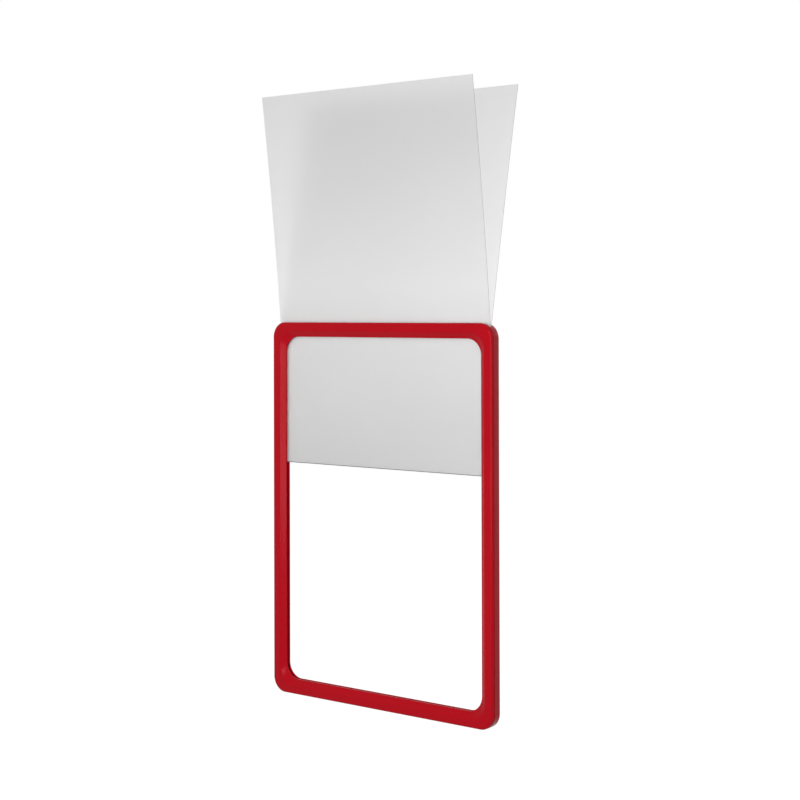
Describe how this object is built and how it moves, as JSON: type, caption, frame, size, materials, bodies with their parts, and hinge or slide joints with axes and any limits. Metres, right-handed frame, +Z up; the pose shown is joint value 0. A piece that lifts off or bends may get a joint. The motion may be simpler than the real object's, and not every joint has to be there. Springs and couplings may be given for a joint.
{
  "type": "poster frame with u-shaped pocket",
  "caption": "Upright A4 poster frame with rounded corners, an open window and a slot along its top, holding a clear film pocket folded into a U, partly drawn out with its leaves apart.",
  "frame": {"origin": "middle of the frame's underside, halfway through its depth", "axes": "+Z up, front towards -Y, +X to the right seen from the front"},
  "size_m": [0.223, 0.0625, 0.4975],
  "materials": {
    "frame_plastic": "glossy moulded red plastic",
    "clear_film": "clear film with a matte, glare-free surface"
  },
  "bodies": {
    "root": {"poster_frame": "frame_plastic", "u_pocket": "clear_film"}
  },
  "joints": []
}
